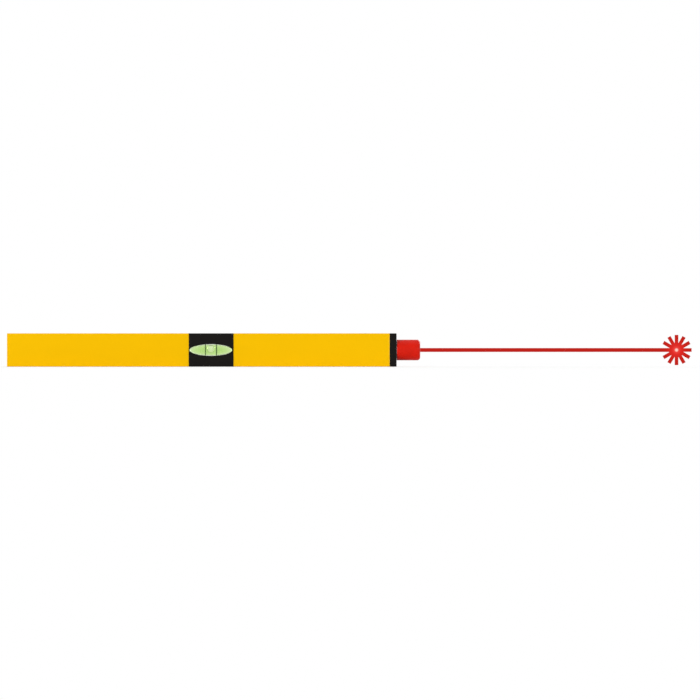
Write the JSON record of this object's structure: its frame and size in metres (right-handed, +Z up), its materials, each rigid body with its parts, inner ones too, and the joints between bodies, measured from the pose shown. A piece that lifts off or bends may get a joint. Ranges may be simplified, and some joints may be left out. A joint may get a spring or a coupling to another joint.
{
  "type": "laser spirit level",
  "caption": "Box-section spirit level with a bubble vial seen through both faces, and a battery laser in a turning focusing head on its right end.",
  "frame": {"origin": "middle of the 600 mm long bar, on its measuring base, half way through its depth", "axes": "+X along the bar towards the laser, +Y from the front face to the rear face, +Z up"},
  "size_m": [0.6364, 0.037, 0.0514],
  "materials": {
    "bar_yellow": "satin",
    "moulded_black": "matte",
    "seal_rubber": "matte",
    "screw_steel": "satin",
    "turned_brass": "satin",
    "turned_aluminium": "satin",
    "clear_acrylic": "gloss",
    "vial_green": "gloss",
    "bubble_air": "gloss",
    "line_ink": "satin",
    "signal_red": "gloss",
    "optical_glass": "polished",
    "board_green": "satin",
    "component_black": "matte",
    "cell_wrap": "gloss",
    "contact_nickel": "polished",
    "wire_red": "satin",
    "wire_black": "satin",
    "wire_yellow": "satin"
  },
  "bodies": {
    "level": {"alignment_screws": "screw_steel", "battery_cells": "cell_wrap", "battery_frame": "moulded_black", "battery_springs": "contact_nickel", "board_components": "component_black", "body_profile": "bar_yellow", "button_spring": "screw_steel", "cap_gasket": "seal_rubber", "cap_screws": "screw_steel", "contact_bridge": "contact_nickel", "contact_negative": "contact_nickel", "contact_positive": "contact_nickel", "diode_barrel": "turned_brass", "door_pin": "screw_steel", "driver_board": "board_green", "frame_screws": "screw_steel", "front_vial_shell": "moulded_black", "head_o_ring": "seal_rubber", "head_retaining_ring": "screw_steel", "head_sleeve": "turned_aluminium", "laser_diode": "turned_brass", "lead_black": "wire_black", "lead_red": "wire_red", "lead_switch": "wire_yellow", "left_end_plug": "moulded_black", "lens_spring": "screw_steel", "pivot_ring": "turned_aluminium", "reading_lines": "line_ink", "rear_vial_shell": "moulded_black", "right_end_cap": "moulded_black", "sleeve_screws": "screw_steel", "switch_bezel": "moulded_black", "switch_body": "moulded_black", "switch_nut": "moulded_black", "top_window": "clear_acrylic", "tripod_insert": "turned_brass", "vial_fluid": "vial_green", "vial_front_half": "clear_acrylic", "vial_rear_half": "clear_acrylic", "vial_screws": "screw_steel"},
    "bubble": {"vial_bubble": "bubble_air"},
    "head": {"focus_head": "signal_red", "aperture_ring": "moulded_black", "aperture_window": "optical_glass"},
    "lens": {"lens_cell": "turned_aluminium", "lens_pins": "screw_steel", "collimator_lens": "optical_glass", "lens_retainer": "turned_brass"},
    "button": {"power_button": "signal_red"},
    "door": {"battery_door": "moulded_black"}
  },
  "joints": [
    {"name": "bubble_roll", "type": "hinge", "parent": "level", "child": "bubble", "pos_m": [0.0138, 0, -0.09465], "axis": [0, 1, 0], "range_deg": [-6, 6], "stiffness_Nm_per_rad": 0.02},
    {"name": "head_turn", "type": "hinge", "parent": "level", "child": "head", "pos_m": [0.3184, 0, 0.0257], "axis": [1, 0, 0], "range_deg": [-60, 60]},
    {"name": "lens_slide", "type": "slide", "parent": "level", "child": "lens", "axis": [1, 0, 0], "range_m": [-0.0015, 0.0015], "deforming": ["lens_spring"]},
    {"name": "button_press", "type": "slide", "parent": "level", "child": "button", "axis": [0, -1, 0], "range_m": [0, 0.0018], "stiffness_N_per_m": 500, "springref_m": -0.001, "deforming": ["button_spring"]},
    {"name": "door_hinge", "type": "hinge", "parent": "level", "child": "door", "pos_m": [0.142, 0.0179, 0.0369], "axis": [1, 0, 0], "range_deg": [0, 100]}
  ],
  "couplings": [
    {"joint": "lens_slide", "follows": "head_turn", "m_per_rad": -0.001432}
  ]
}
